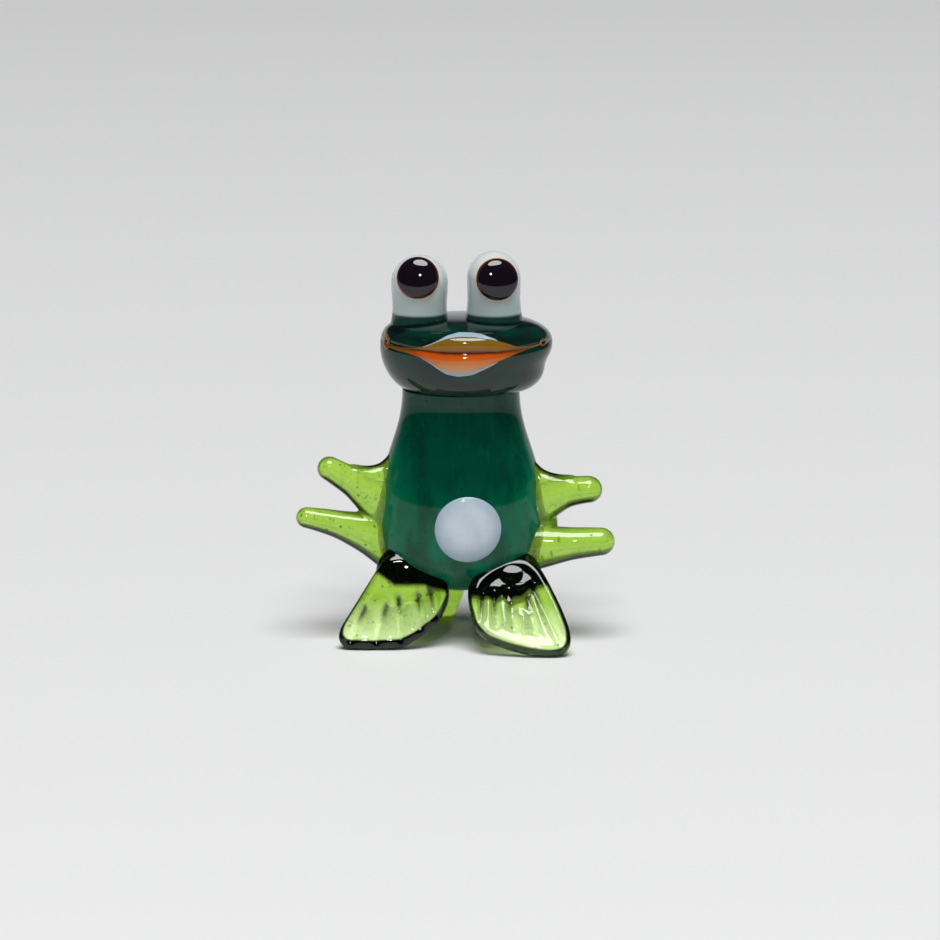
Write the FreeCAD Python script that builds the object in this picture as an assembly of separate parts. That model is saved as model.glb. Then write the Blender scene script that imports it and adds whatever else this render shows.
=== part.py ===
import FreeCAD, Part
import math
import os

from FreeCAD import Vector

# A small frog of lampworked glass that sits upright on two pressed feet and a prop behind.
# Millimetres. The frog faces -Y, +X is the viewer's right, Z is up, and the floor is Z = 0.
# Left and right are the viewer's, looking at the frog's face.

# Torso: a pear shaped gather, round at the bottom, drawn in towards the neck. The belly's width
# carries up to the flank height, and the neck's width carries down to the throat height.
NECK_HEIGHT = 25.3
NECK_RADIUS = 5.85
FLANK_HEIGHT = 18.5
THROAT_HEIGHT = 20.0
BELLY_HEIGHT = 10.8
BELLY_RADIUS = 8.45
BELLY_HALF_DEPTH = 6.75
TORSO_BOTTOM = 4.7
TORSO_X = -0.2

# Head: a flattened gather with a bowl of a jaw and a broad crown
HEAD_X = 0.35
HEAD_RADIUS = 8.6
HEAD_HALF_DEPTH = 6.9
CROWN_HEIGHT = 32.45
HEAD_TALL = CROWN_HEIGHT - NECK_HEIGHT
CHEEK_HEIGHT = NECK_HEIGHT + 0.58 * HEAD_TALL
JAW_FULLNESS = 0.55
CROWN_FULLNESS = 1.9

# Crease between the lips, pressed into the front of the head
LIP_HEIGHT = NECK_HEIGHT + 0.7 * HEAD_TALL
LIP_TILT = 2.0
LIP_CREASE = 0.0364 * HEAD_TALL
LIP_CORNER_X = 0.919 * HEAD_RADIUS

# Mouth: white glass under amber, flush with the head and drawn out along the crease
AMBER_THICKNESS = 0.7
WHITE_THICKNESS = 0.4
AMBER_RISE = 0.19 * HEAD_TALL
AMBER_DROP = 0.33 * HEAD_TALL
AMBER_HALF_WIDTH = 0.581 * HEAD_RADIUS
WHITE_RIM = 0.052 * HEAD_TALL
TAIL_HALF_HEIGHT = 0.063 * HEAD_TALL
CORNER_BEAD_RADIUS = 0.077 * HEAD_TALL

# Eyes: milky stalks with round tops on the crown, each with a dark dot melted into its front
EYE_Y = 0.0
EYE_LEFT_X = -0.5 * HEAD_RADIUS
EYE_LEFT_TOP = CROWN_HEIGHT + 6.25
EYE_LEFT_RADIUS = 0.328 * HEAD_RADIUS
EYE_RIGHT_X = 0.357 * HEAD_RADIUS
EYE_RIGHT_TOP = CROWN_HEIGHT + 6.6
EYE_RIGHT_RADIUS = 0.309 * HEAD_RADIUS
EYE_FOOT_FLARE = 0.25
EYE_FOOT_HEIGHT = 2.4
EYE_SINK = 1.6
PUPIL_RADIUS = 0.244 * HEAD_RADIUS
PUPIL_SEAT = 0.85
PUPIL_PROUD = 0.45
PUPIL_LEFT_TURN = -4.0
PUPIL_LEFT_UPWARDS = 21.0
PUPIL_RIGHT_TURN = 8.0
PUPIL_RIGHT_UPWARDS = 6.0

# White dot on the belly, a little proud of the torso
SPOT_X = 0.5
SPOT_HEIGHT = 12.2
SPOT_RADIUS = 3.3
SPOT_PROUD = 0.5

# Arms: a flat palm on the torso's side, drawn out into two fingers, with a shoulder web above.
# Places are shares of the belly's radius, its half depth and the neck's height, and thicknesses
# are shares of the rod that the limbs were drawn from. A finger is given by the centre of its
# root, the centre of its round tip and its radii at root, middle and tip.
ROD_RADIUS = 2.0
PALM_HALF_DEPTH = 0.75 * ROD_RADIUS
SHOULDER_RADII = (0.8, 0.25)
ARM_LEFT = {
    "palm": (-0.888, -0.12, 0.462),
    "palm_radius": 1.4,
    "shoulder": ((-0.98, -0.12, 0.62), (-0.86, -0.08, 0.77)),
    "fingers": [
        {"root": (-0.757, -0.12, 0.5), "tip": (-1.574, -0.296, 0.69), "radii": (1.65, 1.25, 0.61)},
        {"root": (-0.781, -0.14, 0.372), "tip": (-1.846, -0.296, 0.492), "radii": (1.5, 1.1, 0.53)},
    ],
}
ARM_RIGHT = {
    "palm": (0.817, -0.14, 0.458),
    "palm_radius": 1.3,
    "shoulder": ((0.9, -0.12, 0.605), (0.82, -0.08, 0.747)),
    "fingers": [
        {"root": (0.734, -0.12, 0.522), "tip": (1.485, -0.296, 0.606), "radii": (1.65, 1.2, 0.68)},
        {"root": (0.639, -0.281, 0.36), "tip": (1.627, -0.341, 0.398), "radii": (1.25, 1.2, 0.71)},
    ],
}

# Feet: pressed fans that lean forwards. Toes run side by side from a broad instep in the plane of
# the fan, each from root to tip as (across, down) from the ankle in shares of the fan's length,
# and stand out as ridges on the plate between them, whose rim is round.
FAN_LENGTH = 9.0
FOOT_LEFT = {
    "ankle": (-0.734, -0.548, 0.348),
    "pitch": 72.0,
    "instep": (0.07, 0.14),
    "toes": [
        {"root": (-0.11, 0.16), "tip": (-0.565, 0.86)},
        {"root": (-0.05, 0.25), "tip": (-0.345, 0.89)},
        {"root": (0.05, 0.29), "tip": (-0.1, 0.895)},
        {"root": (0.16, 0.32), "tip": (0.13, 0.84)},
        {"root": (0.29, 0.33), "tip": (0.32, 0.71)},
        {"root": (0.43, 0.32), "tip": (0.45, 0.53)},
    ],
}
FOOT_RIGHT = {
    "ankle": (0.615, -0.622, 0.324),
    "pitch": 56.0,
    "instep": (-0.04, 0.17),
    "toes": [
        {"root": (0.16, 0.13), "tip": (0.5, 0.975)},
        {"root": (0.12, 0.25), "tip": (0.32, 0.985)},
        {"root": (0.02, 0.28), "tip": (0.1, 0.93)},
        {"root": (-0.13, 0.29), "tip": (-0.11, 0.86)},
        {"root": (-0.27, 0.29), "tip": (-0.29, 0.76)},
        {"root": (-0.4, 0.28), "tip": (-0.41, 0.61)},
    ],
}
INSTEP_RADIUS = 0.3 * FAN_LENGTH
INSTEP_HALF_DEPTH = 0.8 * ROD_RADIUS
TOE_ROOT_RADIUS = 0.6 * ROD_RADIUS
TOE_RADIUS = 0.5 * ROD_RADIUS
WEB_THICKNESS = 0.8 * ROD_RADIUS
RIM_RADIUS = 0.9 * TOE_RADIUS
SOLE_FLAT = 0.07 * ROD_RADIUS

# Prop behind, from under the torso down to the floor
PROP_ROOT = (-0.083, 0.385, 0.261)
PROP_TIP = (-0.213, 0.889, 0.04)
PROP_ROOT_RADIUS = 0.9 * ROD_RADIUS
PROP_TIP_RADIUS = 0.575 * ROD_RADIUS

# A length beyond every piece, for cutting tools
REACH = 60.0

X_AXIS = Vector(1, 0, 0)
Y_AXIS = Vector(0, 1, 0)
Z_AXIS = Vector(0, 0, 1)
CIRCLE_WEIGHT = math.sqrt(0.5)


def by_torso(place):
    """A point given as shares of the belly's radius, its half depth and the neck's height."""
    across, back, up = place
    return Vector(across * BELLY_RADIUS, back * BELLY_HALF_DEPTH, up * NECK_HEIGHT)


def in_profile(radius, height):
    """A point of a turned profile, which is drawn in the XZ half plane."""
    return Vector(radius, 0, height)


def corner_curve(start, corner, end, fullness=CIRCLE_WEIGHT):
    """A quarter of an ellipse from start to end, fuller towards its corner as fullness grows."""
    curve = Part.BezierCurve()
    curve.setPoles([start, corner, end])
    curve.setWeight(2, fullness)
    return curve.toShape()


def pulled_curve(poles):
    """A curve from the first pole to the last, pulled towards those between."""
    curve = Part.BezierCurve()
    curve.setPoles(poles)
    return curve.toShape()


def smooth_curve(points, start_tangent, end_tangent):
    """A smooth curve through points, with the given directions at its ends."""
    curve = Part.BSplineCurve()
    curve.interpolate(Points=points, InitialTangent=start_tangent, FinalTangent=end_tangent)
    return curve.toShape()


def turned(edges):
    """The solid that a closed profile sweeps in a full turn about Z."""
    profile = Part.Face(Part.Wire(edges))
    return profile.revolve(Vector(0, 0, 0), Z_AXIS, 360)


def flattened(shape, depth_share):
    """The shape with its depth along Y multiplied by depth_share."""
    matrix = FreeCAD.Matrix()
    matrix.scale(1, depth_share, 1)
    return shape.transformGeometry(matrix)


def aimed(shape, start, end):
    """A shape that was made along +Z from the origin, laid from start towards end."""
    placed = shape.copy()
    placed.Placement = FreeCAD.Placement(start, FreeCAD.Rotation(Z_AXIS, end - start))
    return placed


def front_of(shape, x, height):
    """The Y of the front surface of a shape at one place."""
    probe = Part.makeLine(Vector(x, -REACH, height), Vector(x, 0, height))
    return shape.common(probe).BoundBox.YMin


def top_of(shape, x, y):
    """The height of the top surface of a shape at one place."""
    probe = Part.makeLine(Vector(x, y, 0), Vector(x, y, REACH))
    return shape.common(probe).BoundBox.ZMax


def flat_drop(centre, radius, half_depth):
    """A round drop of glass, pressed flat along Y: half an ellipse turned about its short axis."""
    front = Vector(0, -half_depth, 0)
    rim = Vector(radius, 0, 0)
    back = Vector(0, half_depth, 0)
    face = corner_curve(front, Vector(radius, -half_depth, 0), rim)
    rear = corner_curve(rim, Vector(radius, half_depth, 0), back)
    outline = Part.Face(Part.Wire([face, rear, Part.makeLine(back, front)]))
    drop = outline.revolve(Vector(0, 0, 0), Y_AXIS, 360)
    drop.translate(centre)
    return drop


def torso_gather():
    bottom = in_profile(0, TORSO_BOTTOM)
    belly = in_profile(BELLY_RADIUS, BELLY_HEIGHT)
    flank = in_profile(BELLY_RADIUS, FLANK_HEIGHT)
    throat = in_profile(NECK_RADIUS, THROAT_HEIGHT)
    neck = in_profile(NECK_RADIUS, NECK_HEIGHT)
    bowl = corner_curve(bottom, in_profile(BELLY_RADIUS, TORSO_BOTTOM), belly)
    side = pulled_curve([belly, flank, throat, neck])
    seat = Part.makeLine(neck, in_profile(0, NECK_HEIGHT))
    axis = Part.makeLine(in_profile(0, NECK_HEIGHT), bottom)
    torso = flattened(turned([bowl, side, seat, axis]), BELLY_HALF_DEPTH / BELLY_RADIUS)
    torso.translate(Vector(TORSO_X, 0, 0))
    return torso


def head_gather():
    neck = in_profile(NECK_RADIUS, NECK_HEIGHT)
    cheek = in_profile(HEAD_RADIUS, CHEEK_HEIGHT)
    crown = in_profile(0, CROWN_HEIGHT)
    jaw = corner_curve(neck, in_profile(HEAD_RADIUS, NECK_HEIGHT), cheek, JAW_FULLNESS)
    brow = corner_curve(cheek, in_profile(HEAD_RADIUS, CROWN_HEIGHT), crown, CROWN_FULLNESS)
    axis = Part.makeLine(crown, in_profile(0, NECK_HEIGHT))
    seat = Part.makeLine(in_profile(0, NECK_HEIGHT), neck)
    head = flattened(turned([jaw, brow, axis, seat]), HEAD_HALF_DEPTH / HEAD_RADIUS)
    head.translate(Vector(HEAD_X, 0, 0))
    return head


def lip_height(y):
    """The height of the crease at a depth, as it dips towards the front."""
    return LIP_HEIGHT + y * math.tan(math.radians(LIP_TILT))


def lip_corner(head, side):
    """The end of the crease on one side of the head, on its surface."""
    x = HEAD_X + side * LIP_CORNER_X
    y = front_of(head, x, LIP_HEIGHT)
    return Vector(x, y, lip_height(y))


def lip_tool(corners):
    """A ring that runs along the front of the head, cut off at the corners of the mouth."""
    ring = flattened(Part.makeTorus(HEAD_RADIUS, LIP_CREASE), HEAD_HALF_DEPTH / HEAD_RADIUS)
    ring.rotate(Vector(0, 0, 0), X_AXIS, LIP_TILT)
    ring.translate(Vector(HEAD_X, 0, LIP_HEIGHT))
    ends = min(corner.y for corner in corners)
    front = Part.makeBox(2 * REACH, REACH, REACH, Vector(-REACH, ends - REACH, 0))
    return ring.common(front)


def mouth_prism(corners, rim):
    """The outline of the mouth, widened by rim, run back through the head along Y."""
    left, right = corners
    line = lip_height(-HEAD_HALF_DEPTH)
    tail = TAIL_HALF_HEIGHT + rim
    half = AMBER_HALF_WIDTH + rim
    top = Vector(HEAD_X, 0, line + AMBER_RISE + rim)
    low = Vector(HEAD_X, 0, line - AMBER_DROP - rim)
    left_top = Vector(left.x, 0, left.z + tail)
    left_low = Vector(left.x, 0, left.z - tail)
    right_top = Vector(right.x, 0, right.z + tail)
    right_low = Vector(right.x, 0, right.z - tail)
    bend = (line + LIP_HEIGHT) / 2
    left_bend_top = Vector(HEAD_X - half, 0, bend + tail)
    left_bend_low = Vector(HEAD_X - half, 0, bend - tail)
    right_bend_top = Vector(HEAD_X + half, 0, bend + tail)
    right_bend_low = Vector(HEAD_X + half, 0, bend - tail)
    over = smooth_curve([left_top, left_bend_top, top, right_bend_top, right_top], X_AXIS, X_AXIS)
    under = smooth_curve([right_low, right_bend_low, low, left_bend_low, left_low], -X_AXIS, -X_AXIS)
    outline = Part.Wire([over, Part.makeLine(right_top, right_low), under, Part.makeLine(left_low, left_top)])
    return Part.Face(outline).extrude(Vector(0, -REACH, 0))


def mouth_layer(head, prism, depth):
    """What lies inside an outline, from the head's front surface to depth behind it."""
    core = head.copy()
    core.translate(Vector(0, depth, 0))
    return head.common(prism).cut(core)


def eye_stalk(head, x, top, radius):
    """A round topped stalk with a flared foot, seated on the crown."""
    foot_height = top_of(head, x, EYE_Y) - EYE_SINK
    foot_radius = radius + EYE_FOOT_FLARE
    shoulder_height = top - radius
    waist_height = foot_height + EYE_SINK + EYE_FOOT_HEIGHT
    foot = Part.makeLine(in_profile(0, foot_height), in_profile(foot_radius, foot_height))
    flare = corner_curve(in_profile(foot_radius, foot_height), in_profile(radius, foot_height + EYE_SINK),
                         in_profile(radius, waist_height))
    stem = Part.makeLine(in_profile(radius, waist_height), in_profile(radius, shoulder_height))
    dome = corner_curve(in_profile(radius, shoulder_height), in_profile(radius, top), in_profile(0, top))
    axis = Part.makeLine(in_profile(0, top), in_profile(0, foot_height))
    stalk = turned([foot, flare, stem, dome, axis])
    stalk.translate(Vector(x, EYE_Y, 0))
    return stalk.cut(head)


def pupil_drop(x, top, radius, turn, upwards):
    """A dot on the dome of an eye. Its rim is sunk into the eye and its middle stands proud."""
    middle = Vector(x, EYE_Y, top - radius)
    rim = middle - Vector(0, PUPIL_SEAT * radius, 0)
    drop = flat_drop(rim, PUPIL_RADIUS, radius - PUPIL_SEAT * radius + PUPIL_PROUD)
    drop.rotate(middle, X_AXIS, -upwards)
    drop.rotate(middle, Z_AXIS, turn)
    return drop


def belly_drop(torso):
    """The dot on the belly, leant with the torso. Its rim is in the torso and its middle proud."""
    middle_y = front_of(torso, SPOT_X, SPOT_HEIGHT)
    left_y = front_of(torso, SPOT_X - SPOT_RADIUS, SPOT_HEIGHT)
    right_y = front_of(torso, SPOT_X + SPOT_RADIUS, SPOT_HEIGHT)
    low_y = front_of(torso, SPOT_X, SPOT_HEIGHT - SPOT_RADIUS)
    high_y = front_of(torso, SPOT_X, SPOT_HEIGHT + SPOT_RADIUS)
    rim_y = (left_y + right_y + low_y + high_y) / 4
    centre = Vector(SPOT_X, rim_y, SPOT_HEIGHT)
    drop = flat_drop(centre, SPOT_RADIUS, rim_y - middle_y + SPOT_PROUD)
    drop.rotate(centre, X_AXIS, -math.degrees(math.atan2(high_y - low_y, 2 * SPOT_RADIUS)))
    drop.rotate(centre, Z_AXIS, math.degrees(math.atan2(right_y - left_y, 2 * SPOT_RADIUS)))
    return drop


def finger(root, tip, radii):
    """A drawn out finger with a broad root and a round tip."""
    root, tip = by_torso(root), by_torso(tip)
    root_radius, middle_radius, tip_radius = [share * ROD_RADIUS for share in radii]
    length = (tip - root).Length
    base = Part.makeLine(in_profile(0, 0), in_profile(root_radius, 0))
    side = pulled_curve([in_profile(root_radius, 0), in_profile(middle_radius, length / 3),
                         in_profile(tip_radius, 2 * length / 3), in_profile(tip_radius, length)])
    point = in_profile(0, length + tip_radius)
    cap = corner_curve(in_profile(tip_radius, length), in_profile(tip_radius, length + tip_radius), point)
    axis = Part.makeLine(point, in_profile(0, 0))
    return aimed(turned([base, side, cap, axis]), root, tip)


def arm(shape, torso):
    """A palm with two fingers and a shoulder drawn out of it, seated on the side of the torso."""
    palm = flat_drop(by_torso(shape["palm"]), shape["palm_radius"] * ROD_RADIUS, PALM_HALF_DEPTH)
    low, high = [by_torso(place) for place in shape["shoulder"]]
    low_radius, high_radius = [share * ROD_RADIUS for share in SHOULDER_RADII]
    shoulder = tapered_rod(low, high, low_radius, high_radius)
    fingers = [finger(**one) for one in shape["fingers"]]
    return palm.multiFuse(fingers + [shoulder]).cut(torso)


def tapered_rod(start, end, start_radius, end_radius):
    """A rod with round ends, between two centres, whose side is tangent to both ends."""
    length = (end - start).Length
    lean = math.asin((start_radius - end_radius) / length)
    start_low = in_profile(0, -start_radius)
    start_side = in_profile(start_radius * math.cos(lean), start_radius * math.sin(lean))
    start_mid = in_profile(start_radius * math.cos(math.pi / 4), -start_radius * math.sin(math.pi / 4))
    end_side = in_profile(end_radius * math.cos(lean), length + end_radius * math.sin(lean))
    end_mid = in_profile(end_radius * math.cos(math.pi / 4), length + end_radius * math.sin(math.pi / 4))
    end_top = in_profile(0, length + end_radius)
    back = Part.Arc(start_low, start_mid, start_side).toShape()
    side = Part.makeLine(start_side, end_side)
    front = Part.Arc(end_side, end_mid, end_top).toShape()
    axis = Part.makeLine(end_top, start_low)
    return aimed(turned([back, side, front, axis]), start, end)


def in_fan(place):
    """A point of a fan before it is leant, given as across and down in shares of its length."""
    across, down = place
    return Vector(across * FAN_LENGTH, 0, -down * FAN_LENGTH)


def rim_bar(tip, following):
    """The round rim of a fan from one toe's tip to the following one."""
    return Part.makeCylinder(RIM_RADIUS, (following - tip).Length, tip, following - tip)


def pressed_foot(foot, torso, arm_above):
    """A fan of toes and web, leant forwards, standing on the floor and seated on the torso."""
    roots = [in_fan(toe["root"]) for toe in foot["toes"]]
    tips = [in_fan(toe["tip"]) for toe in foot["toes"]]
    outline = Part.makePolygon(tips + roots[::-1] + tips[:1])
    web = Part.Face(outline).extrude(Vector(0, WEB_THICKNESS, 0))
    web.translate(Vector(0, -WEB_THICKNESS / 2, 0))
    toes = [tapered_rod(root, tip, TOE_ROOT_RADIUS, TOE_RADIUS) for root, tip in zip(roots, tips)]
    rim = [rim_bar(tip, following) for tip, following in zip(tips, tips[1:])]
    instep = flat_drop(in_fan(foot["instep"]), INSTEP_RADIUS, INSTEP_HALF_DEPTH)
    fan = web.multiFuse(toes + rim + [instep])
    fan.rotate(Vector(0, 0, 0), X_AXIS, foot["pitch"] - 90)
    fan.translate(by_torso(foot["ankle"]))
    return stood(fan).cut(torso).cut(arm_above)


def stood(shape):
    """The shape moved down onto the floor, with a small flat where it stands."""
    lowest = shape.optimalBoundingBox().ZMin
    placed = shape.copy()
    placed.translate(Vector(0, 0, -lowest - SOLE_FLAT))
    under = Part.makeBox(2 * REACH, 2 * REACH, REACH, Vector(-REACH, -REACH, -REACH))
    return placed.cut(under)


def frog():
    """Every piece of glass by name, in the modelling frame."""
    torso = torso_gather()
    head = head_gather()

    corners = [lip_corner(head, -1), lip_corner(head, 1)]
    crease = lip_tool(corners)
    beads = [Part.makeSphere(CORNER_BEAD_RADIUS, corner) for corner in corners]
    amber_layer = mouth_layer(head, mouth_prism(corners, 0), AMBER_THICKNESS)
    both_layers = mouth_layer(head, mouth_prism(corners, WHITE_RIM), AMBER_THICKNESS + WHITE_THICKNESS)
    amber = amber_layer.multiFuse(beads).cut(crease)
    white = both_layers.cut(amber_layer).cut(crease).cut(amber)

    eyes = {
        "left": (EYE_LEFT_X, EYE_LEFT_TOP, EYE_LEFT_RADIUS, PUPIL_LEFT_TURN, PUPIL_LEFT_UPWARDS),
        "right": (EYE_RIGHT_X, EYE_RIGHT_TOP, EYE_RIGHT_RADIUS, PUPIL_RIGHT_TURN, PUPIL_RIGHT_UPWARDS),
    }
    pieces = {}
    for side, (x, top, radius, turn, upwards) in eyes.items():
        pupil = pupil_drop(x, top, radius, turn, upwards)
        pieces["eye_" + side] = eye_stalk(head, x, top, radius).cut(pupil)
        pieces["pupil_" + side] = pupil

    spot = belly_drop(torso)
    pieces["torso"] = torso.cut(spot)
    pieces["head"] = head.cut(both_layers).cut(crease).cut(amber)
    pieces["mouth_white"] = white
    pieces["mouth_amber"] = amber
    pieces["belly_spot"] = spot
    pieces["arm_left"] = arm(ARM_LEFT, torso)
    pieces["arm_right"] = arm(ARM_RIGHT, torso)
    pieces["foot_left"] = pressed_foot(FOOT_LEFT, torso, pieces["arm_left"])
    pieces["foot_right"] = pressed_foot(FOOT_RIGHT, torso, pieces["arm_right"])
    prop = tapered_rod(by_torso(PROP_ROOT), by_torso(PROP_TIP), PROP_ROOT_RADIUS, PROP_TIP_RADIUS)
    pieces["tail_prop"] = stood(prop).cut(torso)
    return pieces


def main():
    pieces = frog()
    whole = Part.makeCompound(list(pieces.values())).optimalBoundingBox()
    origin = Vector(-whole.Center.x, -whole.Center.y, -whole.ZMin)
    os.makedirs("parts", exist_ok=True)
    for name, shape in pieces.items():
        shape.translate(origin)
        shape.exportStep("parts/" + name + ".step")
        print(name, "solids", len(shape.Solids), "valid", shape.isValid(), "volume", round(shape.Volume, 3))
    print("size", round(whole.XLength, 3), round(whole.YLength, 3), round(whole.ZLength, 3))
    print("moved by", [round(value, 3) for value in origin])


main()
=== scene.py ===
# %% [markdown]
# # A small frog of lampworked glass
# The real figurine is about 39 mm tall. It was melted together from rods at a torch: a dense emerald
# gather for the torso, a smoky one for the head, milky eye stalks, and clear lime glass for the arms,
# feet and prop. The exact solids of the part are loaded first as a fixed frame, and each piece made
# below takes the place of one of them, with the softer forms and the finishes that hot glass has.

# %% The frame and the tools
import math

import bmesh
import bpy
import numpy as np
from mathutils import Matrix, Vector


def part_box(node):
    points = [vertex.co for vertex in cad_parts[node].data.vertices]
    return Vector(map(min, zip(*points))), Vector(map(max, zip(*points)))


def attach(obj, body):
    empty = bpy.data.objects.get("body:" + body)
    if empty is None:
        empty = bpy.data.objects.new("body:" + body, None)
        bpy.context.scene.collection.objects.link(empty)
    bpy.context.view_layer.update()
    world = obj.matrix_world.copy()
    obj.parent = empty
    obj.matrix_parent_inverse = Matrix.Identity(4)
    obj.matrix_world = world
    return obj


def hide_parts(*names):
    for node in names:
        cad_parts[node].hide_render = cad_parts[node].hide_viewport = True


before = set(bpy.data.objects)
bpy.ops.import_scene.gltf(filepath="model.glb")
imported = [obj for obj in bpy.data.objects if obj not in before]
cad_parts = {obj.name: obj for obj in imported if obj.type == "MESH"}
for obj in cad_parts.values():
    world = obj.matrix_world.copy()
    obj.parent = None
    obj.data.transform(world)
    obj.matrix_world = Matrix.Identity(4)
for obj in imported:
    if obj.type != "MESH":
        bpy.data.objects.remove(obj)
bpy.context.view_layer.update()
print("solids in the frame:", len(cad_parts))

# %% [markdown]
# The solids were drawn with the axis of the torso at X = 0 and Y = 0, in millimetres, and then moved so
# that the middle of the whole frog is over the origin. The torso is even about its axis at the back and
# sides, so its box says how far it was moved. Places below are given in those drawing millimetres. The
# camera's tilt is set here too, because the painted shade on the sides of the arms is worked out from it.

# %% Drawing millimetres to metres, and the camera's tilt
MM = 0.001
CAMERA_TILT = math.radians(12)
TORSO_X = -0.2
BELLY_HALF_DEPTH = 6.75
torso_low, torso_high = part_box("torso")
SHIFT = np.array([(torso_low.x + torso_high.x) / 2 / MM - TORSO_X, torso_high.y / MM - BELLY_HALF_DEPTH, 0])


def in_metres(points):
    """Drawing millimetres, moved with the solids and made metres."""
    return (np.asarray(points, float) + SHIFT) * MM


print("moved by", SHIFT.round(3), "mm")

# %% [markdown]
# Almost every piece of a lampworked figure is a drop or a drawn rod, so one builder serves them all: a
# stack of rings of points, closed to a single point at each end. The rings come as one array, so the
# shape itself is always plain arithmetic on whole arrays.

# %% A closed skin over rings
def ring_faces(rows, around):
    """Quads between neighbouring rings, and triangles from the end rings to the poles, which come last."""
    index = np.arange(rows * around).reshape(rows, around)
    after = np.roll(index, -1, axis=1)
    quads = np.stack([index[:-1], after[:-1], after[1:], index[1:]], axis=-1).reshape(-1, 4)
    first = np.stack([np.full(around, rows * around), after[0], index[0]], axis=-1)
    last = np.stack([np.full(around, rows * around + 1), index[-1], after[-1]], axis=-1)
    return quads, first, last


def skin_data(rings):
    """The points and faces of a skin. Each pole is the middle of its end ring."""
    rows, around, _ = rings.shape
    points = np.vstack([rings.reshape(-1, 3), rings[0].mean(0), rings[-1].mean(0)])
    quads, first, last = ring_faces(rows, around)
    return points, quads.tolist() + first.tolist() + last.tolist()


def new_piece(name, points, faces):
    """A mesh object with its place in its mesh, smooth, with every face outwards."""
    mesh = bpy.data.meshes.new(name)
    mesh.from_pydata(in_metres(points).tolist(), [], faces)
    piece = bpy.data.objects.new(name, mesh)
    bpy.context.scene.collection.objects.link(piece)
    shell = bmesh.new()
    shell.from_mesh(mesh)
    bmesh.ops.recalc_face_normals(shell, faces=shell.faces)
    shell.to_mesh(mesh)
    shell.free()
    mesh.polygons.foreach_set("use_smooth", np.ones(len(mesh.polygons), bool))
    return piece


def skin(name, rings):
    """A closed skin over rings, as an object."""
    return new_piece(name, *skin_data(rings))


def finished(piece, material, slot, *nodes):
    """Gives a piece its material and the solids that it stands for. The slot is not used."""
    piece.data.materials.clear()
    piece.data.materials.append(material)
    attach(piece, "root")
    if nodes:
        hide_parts(*nodes)
    triangles = sum(len(face.vertices) - 2 for face in piece.data.polygons)
    print(piece.name, "triangles", triangles)


# %% [markdown]
# Hot glass also melts into its neighbours: fingers flow out of a palm and a fan out of its instep, with no
# seam. Here the drops and rods of a limb are put together as overlapping skins, remeshed as one by a
# fine voxel grid, and then smoothed, which rounds every crease as surface tension does.

# %% Skins melted into one
VOXEL = 0.13 * MM
MELT_ROUNDS = 14


def joined_data(skins):
    """Several skins as one set of points and faces."""
    points, faces, start = [], [], 0
    for skin_points, skin_faces in skins:
        points.append(skin_points)
        faces += [[corner + start for corner in face] for face in skin_faces]
        start += len(skin_points)
    return np.vstack(points), faces


def melted(name, skins, rounds=MELT_ROUNDS, voxel=VOXEL):
    """One smooth closed skin round overlapping ones."""
    piece = new_piece(name, *joined_data(skins))
    remesh = piece.modifiers.new("melt", "REMESH")
    remesh.mode = "VOXEL"
    remesh.voxel_size = voxel
    smooth = piece.modifiers.new("tension", "SMOOTH")
    smooth.factor = 0.5
    smooth.iterations = rounds
    graph = bpy.context.evaluated_depsgraph_get()
    mesh = bpy.data.meshes.new_from_object(piece.evaluated_get(graph))
    piece.modifiers.clear()
    old = piece.data
    piece.data = mesh
    bpy.data.meshes.remove(old)
    mesh.name = name
    mesh.polygons.foreach_set("use_smooth", np.ones(len(mesh.polygons), bool))
    return piece


def mesh_points(piece):
    """The points of a piece in metres, as one array."""
    points = np.empty(len(piece.data.vertices) * 3)
    piece.data.vertices.foreach_get("co", points)
    return points.reshape(-1, 3)


def keep(piece, name, values):
    """Keeps a number at each point of a piece, for its material to read."""
    field = piece.data.attributes.new(name, "FLOAT", "POINT")
    field.data.foreach_set("value", np.clip(values, 0, 1))


SOLE_SINK = 0.1


def stood(piece):
    """Sets a piece down on the floor, with a small flat under it, and gives its points in millimetres."""
    points = mesh_points(piece)
    points[:, 2] = np.maximum(points[:, 2] - points[:, 2].min() - SOLE_SINK * MM, 0)
    piece.data.vertices.foreach_set("co", points.ravel())
    piece.data.update()
    return points / MM - SHIFT


# %% [markdown]
# The shading maths is written as plain expressions. One small class holds a socket of a material's
# nodes, so that `1 - mask * 0.3` adds the two maths nodes that it needs.

# %% A socket that can be reckoned with
class Value:
    """A number that varies over a surface: the output socket of a node."""

    def __init__(self, paint, socket):
        self.paint = paint
        self.socket = socket

    def _maths(self, operation, first, second):
        made = self.paint.node("ShaderNodeMath", {"operation": operation}, {0: first, 1: second})
        return made.out()

    def __add__(self, other):
        return self._maths("ADD", self, other)

    def __sub__(self, other):
        return self._maths("SUBTRACT", self, other)

    def __rsub__(self, other):
        return self._maths("SUBTRACT", other, self)

    def __mul__(self, other):
        return self._maths("MULTIPLY", self, other)

    def __gt__(self, other):
        return self._maths("GREATER_THAN", self, other)


class Made:
    """A node that was just added, whose outputs are picked by name or number."""

    def __init__(self, paint, node):
        self.paint = paint
        self.node = node

    def out(self, which=0):
        return Value(self.paint, self.node.outputs[which])


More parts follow.
